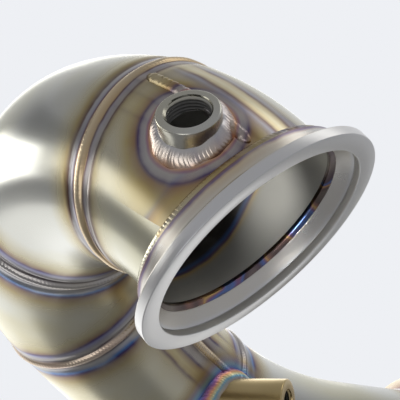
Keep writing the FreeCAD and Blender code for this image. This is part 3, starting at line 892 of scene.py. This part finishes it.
def standing(name, data, place, right, up, back):
    # object in the scene whose own axes point right, up and back; its place is in metres
    made = linked(name, data)
    made.matrix_world = Matrix([[right[k], up[k], back[k], place[k]] for k in range(3)] + [[0, 0, 0, 1]])
    return made


view = {"place": (-319.5, -128.5, 184.2), "right": (0.6105, -0.6122, 0.5025),
        "down": (-0.0877, -0.6828, -0.7253), "forward": (0.7871, 0.3987, -0.4706), "focal": 1028.1,
        "picture": 400}  # the last two in pixels
camera = bpy.data.cameras.new("camera")
camera.sensor_width = 36.0
camera.lens = camera.sensor_width * view["focal"] / view["picture"]
camera.clip_start = 0.01
bpy.context.scene.camera = standing("camera", camera, np.array(view["place"]) * mm, view["right"],
                                    -np.array(view["down"]), -np.array(view["forward"]))

# studio: soft boxes round the part, a pale floor, and a bright sheet that the camera sees everywhere
# and mirror rays only behind the part, between two cosines off the line of the photograph

studio = {"background": (0.855, 0.871, 0.905), "floor": -900.0, "floorHalf": 4.0, "paper": 0.5,
          "room": (0.9, 0.92, 1.0), "ambient": 0.41, "centre": (0.02, 0.07, -0.08), "sheet": (0.45, 0.9)}
boxes = [  # name, degrees round from +X, degrees up, metres away, width, height, glow, colour
    ("left", 100, -36, 1.0, 0.56, 0.34, 3.6, (1.0, 1.0, 0.99)),
    ("far left", 143, -24, 1.0, 0.50, 0.36, 1.5, (1.0, 0.99, 0.96)),
    ("low left", 37, -18, 1.0, 0.80, 0.42, 1.4, (1.0, 0.99, 0.97)),
    ("below", 50, -78, 0.75, 0.8, 0.7, 0.9, (0.98, 0.99, 1.0)),
    ("above", 25, 52, 1.0, 0.6, 0.4, 1.2, (1.0, 0.99, 0.97)),
    ("behind camera", -152, -8, 1.3, 0.8, 0.5, 1.5, (1.0, 1.0, 1.0)),
    ("face", -27, -29, 1.0, 0.40, 0.30, 0.62, (1.0, 1.0, 1.0)),
]
spots = [  # light that falls into the mouth: name, place, aim, cone in degrees, watts, radius in metres
    ("patch", (-350, -285, -150), (42, 33, -3), 4.0, 26.0, 0.008),
    ("fill", (-120, -420, 60), (50, 28, 20), 8.0, 1.2, 0.03),
]


def hungLamp(name, lamp, place, back):
    # lamp that shines against back, and that the camera doesn't see
    right = unit(np.cross((0, 0, 1), back))
    standing(name, lamp, place, right, np.cross(back, right), back).visible_camera = False


for name, around, up, distance, width, height, glow, colour in boxes:
    lamp = bpy.data.lights.new(name, "AREA")
    lamp.shape = "RECTANGLE"
    lamp.size, lamp.size_y = width, height
    lamp.energy = glow * math.pi * width * height  # the glow is what a mirror would show
    lamp.color = colour
    around, up = math.radians(around), math.radians(up)
    back = np.array((math.cos(up) * math.cos(around), math.cos(up) * math.sin(around), math.sin(up)))
    hungLamp(name, lamp, np.array(studio["centre"]) + back * distance, back)
for name, source, aim, cone, watts, size in spots:
    lamp = bpy.data.lights.new(name, "SPOT")
    lamp.energy, lamp.spot_size, lamp.spot_blend = watts, math.radians(cone), 0.5
    lamp.shadow_soft_size = size
    source = np.array(source, float)
    hungLamp(name, lamp, source * mm, unit(source - np.array(aim)))


def showsSheet(tree, toward):
    # 1 for camera rays, and for mirror rays that run towards the bright sheet behind the part
    path = shade(tree, "ShaderNodeLightPath").outputs
    mirrored = compute(tree, "MAXIMUM", path["Is Glossy Ray"], path["Is Transmission Ray"])
    ahead = combine(tree, "DOT_PRODUCT", combine(tree, "NORMALIZE", toward, (0, 0, 0)), view["forward"])
    mirrored = compute(tree, "MULTIPLY", mirrored, spread(tree, ahead, studio["sheet"]))
    return compute(tree, "MAXIMUM", path["Is Camera Ray"], mirrored)


def sheetOver(tree, toward, plain, output, kind):
    # the bright sheet laid over a plain surface, where rays should see it
    bright = shade(tree, kind, (("Color", (*studio["background"], 1)), ("Strength", 1.0)))
    either = shade(tree, "ShaderNodeMixShader", ((0, showsSheet(tree, toward)), (1, plain.outputs[0]),
                                                 (2, bright.outputs[0])))
    tree.links.new(either.outputs[0], tree.nodes[output].inputs["Surface"])


floorMesh = bpy.data.meshes.new("floor")
half, level = studio["floorHalf"], studio["floor"] * mm
corners = [(x * half, y * half, level) for x, y in ((-1, -1), (1, -1), (1, 1), (-1, 1))]
floorMesh.from_pydata(corners, [], [(0, 1, 2, 3)])
linked("floor", floorMesh)
floorMaterial, tree, paper = newMaterial("floor")
paper.inputs["Base Color"].default_value = (studio["paper"],) * 3 + (1,)
paper.inputs["Roughness"].default_value = 0.9
toward = combine(tree, "SUBTRACT", shade(tree, "ShaderNodeTexCoord").outputs["Object"], studio["centre"])
sheetOver(tree, toward, paper, "Material Output", "ShaderNodeEmission")
floorMesh.materials.append(floorMaterial)

world = bpy.data.worlds.new("studio")
world.use_nodes = True
tree = world.node_tree
room = tree.nodes["Background"]
room.inputs["Color"].default_value = (*studio["room"], 1)
room.inputs["Strength"].default_value = studio["ambient"]
sheetOver(tree, shade(tree, "ShaderNodeTexCoord").outputs["Generated"], room, "World Output",
          "ShaderNodeBackground")
bpy.context.scene.world = world
bpy.context.scene.view_settings.view_transform = "Standard"

print("scene ready")
